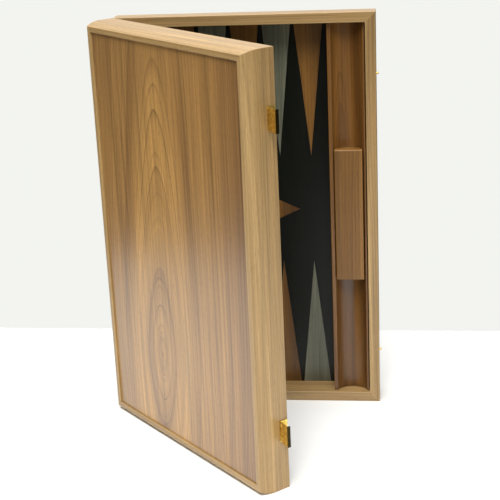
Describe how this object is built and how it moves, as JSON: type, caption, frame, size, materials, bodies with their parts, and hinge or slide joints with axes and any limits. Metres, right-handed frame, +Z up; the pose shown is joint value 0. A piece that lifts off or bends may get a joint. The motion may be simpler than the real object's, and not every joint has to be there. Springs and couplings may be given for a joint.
{
  "type": "backgammon set",
  "caption": "Folding wooden backgammon case standing on end, partly open, with inlaid points, checker racks, butt hinges and hasps.",
  "frame": {"origin": "middle of the set's plan box, on the surface it stands on", "axes": "+Z up along the hinge line and the case's length; the base half's back faces +Y and the base runs from the hinge line towards +X; the lid opens towards -Y"},
  "size_m": [0.3266, 0.2762, 0.48],
  "materials": {
    "frame_walnut": "light walnut, satin lacquer",
    "panel_walnut": "figured walnut veneer, satin lacquer",
    "rack_walnut": "darker walnut, satin lacquer",
    "field_black": "black stained wood, matt lacquer",
    "point_grey": "grey stained wood inlay, matt lacquer",
    "point_walnut": "walnut inlay, matt lacquer",
    "brass": "brushed brass"
  },
  "bodies": {
    "base_half": {"base_rail_bottom": "frame_walnut", "base_rail_top": "frame_walnut", "base_rail_free": "frame_walnut", "base_rail_hinge": "frame_walnut", "base_outer_panel": "panel_walnut", "base_field": "field_black", "base_diamond": "point_walnut", "base_point_bottom_1": "point_walnut", "base_point_bottom_2": "point_grey", "base_point_bottom_3": "point_walnut", "base_point_bottom_4": "point_grey", "base_point_bottom_5": "point_walnut", "base_point_bottom_6": "point_grey", "base_point_top_1": "point_grey", "base_point_top_2": "point_walnut", "base_point_top_3": "point_grey", "base_point_top_4": "point_walnut", "base_point_top_5": "point_grey", "base_point_top_6": "point_walnut", "base_rack": "rack_walnut", "base_rack_block": "rack_walnut", "hinge_lower_base_leaf": "brass", "hinge_upper_base_leaf": "brass", "hinge_lower_pin": "brass", "hinge_upper_pin": "brass", "stud_lower": "brass", "stud_upper": "brass"},
    "lid_half": {"lid_rail_bottom": "frame_walnut", "lid_rail_top": "frame_walnut", "lid_rail_free": "frame_walnut", "lid_rail_hinge": "frame_walnut", "lid_outer_panel": "panel_walnut", "lid_field": "field_black", "lid_diamond": "point_walnut", "lid_point_bottom_1": "point_grey", "lid_point_bottom_2": "point_walnut", "lid_point_bottom_3": "point_grey", "lid_point_bottom_4": "point_walnut", "lid_point_bottom_5": "point_grey", "lid_point_bottom_6": "point_walnut", "lid_point_top_1": "point_walnut", "lid_point_top_2": "point_grey", "lid_point_top_3": "point_walnut", "lid_point_top_4": "point_grey", "lid_point_top_5": "point_walnut", "lid_point_top_6": "point_grey", "lid_rack": "rack_walnut", "lid_rack_block": "rack_walnut", "hinge_lower_lid_leaf": "brass", "hinge_upper_lid_leaf": "brass", "hasp_lower_plate": "brass", "hasp_upper_plate": "brass", "hasp_lower_pin": "brass", "hasp_upper_pin": "brass"},
    "lower_hasp": {"hasp_lower_leaf": "brass"},
    "upper_hasp": {"hasp_upper_leaf": "brass"}
  },
  "joints": [
    {"name": "lid_hinge", "type": "hinge", "parent": "base_half", "child": "lid_half", "pos_m": [-0.1395, 0.10061, 0.24], "axis": [0, 0, -1], "range_deg": [-46, 134]},
    {"name": "lower_hasp_hinge", "type": "hinge", "parent": "lid_half", "child": "lower_hasp", "pos_m": [0.06366, -0.12387, 0.07], "axis": [0, 0, 1], "range_deg": [-61, 99]},
    {"name": "upper_hasp_hinge", "type": "hinge", "parent": "lid_half", "child": "upper_hasp", "pos_m": [0.06366, -0.12387, 0.41], "axis": [0, 0, 1], "range_deg": [-61, 99]}
  ]
}
